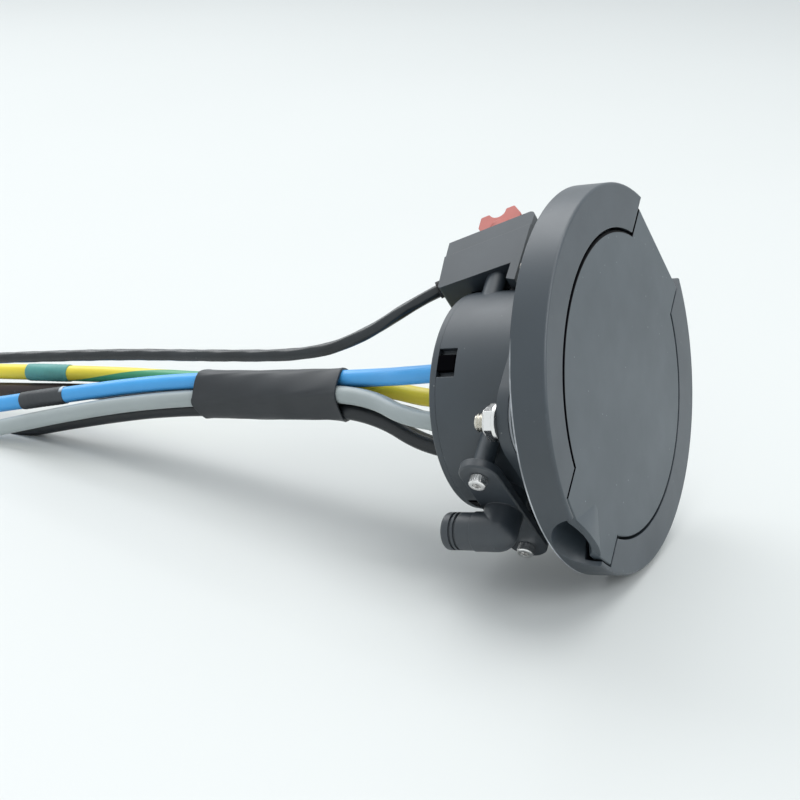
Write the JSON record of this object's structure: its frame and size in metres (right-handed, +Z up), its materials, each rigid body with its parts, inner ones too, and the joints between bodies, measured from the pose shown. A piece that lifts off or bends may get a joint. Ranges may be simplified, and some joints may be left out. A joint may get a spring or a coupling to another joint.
{
  "type": "ev charging socket",
  "caption": "Round panel charging socket with a sprung flush flap lid, lock actuator, drain elbow, mounting studs and flying power and control leads.",
  "frame": {"origin": "centre of the round bezel on the plane of its rear edge, where it seats on the panel", "axes": "+Z up with the lid's hinge at the top, the lid faces -Y, the leads leave towards +Y, +X is right seen from the front"},
  "size_m": [0.125, 0.2783, 0.1262],
  "materials": {
    "plastic_black": "fine moulded texture",
    "plastic_lid": "fine moulded texture",
    "plastic_housing": "moulded satin",
    "plastic_carrier": "moulded satin",
    "seal_rubber": "matt",
    "gasket_foam": "matt grey",
    "steel": "machined",
    "spring_steel": "drawn wire",
    "contact_metal": "silver plated",
    "knob_red": "moulded",
    "pin_steel": "ground",
    "motor_metal": "plated can",
    "wire_blue": "satin insulation",
    "wire_yellow_green": "satin insulation, green stripe",
    "wire_grey": "satin insulation",
    "wire_black": "satin insulation",
    "wire_brown": "satin insulation",
    "sleeve_shrink": "heat-shrink",
    "marker_shrink": "heat-shrink",
    "marker_green": "heat-shrink",
    "cable_jacket": "ribbed jacket"
  },
  "bodies": {
    "bezel": {"front_bezel": "plastic_black", "hinge_pin": "pin_steel", "lid_spring": "spring_steel", "socket_housing": "plastic_housing", "flange_gasket": "gasket_foam", "contact_carrier": "plastic_carrier", "contact_retainer": "plastic_carrier", "rear_cap": "plastic_housing", "panel_studs": "steel", "panel_washers": "steel", "panel_nuts": "steel", "drain_elbow": "plastic_housing", "drain_gasket": "seal_rubber", "drain_screws": "steel", "actuator_base": "plastic_housing", "actuator_cover": "plastic_housing", "lock_motor": "motor_metal", "bundle_sleeve": "sleeve_shrink", "control_cable": "cable_jacket", "cable_grommet": "seal_rubber", "wire_neutral": "wire_blue", "wire_l3": "wire_grey", "wire_l2": "wire_black", "wire_l1": "wire_brown", "wire_earth": "wire_yellow_green", "marker_neutral": "marker_shrink", "marker_earth": "marker_green", "contact_neutral": "contact_metal", "contact_l1": "contact_metal", "contact_earth": "contact_metal", "contact_l3": "contact_metal", "contact_l2": "contact_metal", "contact_proximity": "contact_metal", "contact_pilot": "contact_metal"},
    "lid": {"flap_lid": "plastic_lid", "lid_seal": "seal_rubber"},
    "lock": {"lock_pin": "pin_steel"},
    "knob": {"release_knob": "knob_red"}
  },
  "joints": [
    {"name": "lid_hinge", "type": "hinge", "parent": "bezel", "child": "lid", "pos_m": [0, -0.00845, 0.0509], "axis": [-1, 0, 0], "range_deg": [0, 110], "stiffness_Nm_per_rad": 0.006, "springref_deg": -34.38},
    {"name": "lock_slide", "type": "slide", "parent": "bezel", "child": "lock", "axis": [0, 0, -1], "range_m": [0, 0.0035]},
    {"name": "knob_turn", "type": "hinge", "parent": "bezel", "child": "knob", "pos_m": [-0.0248, 0.0336, 0.04431], "axis": [0, 0.3785, 0.9256], "range_deg": [0, 60]}
  ],
  "couplings": [
    {"joint": "knob_turn", "follows": "lock_slide", "rad_per_m": 299}
  ]
}
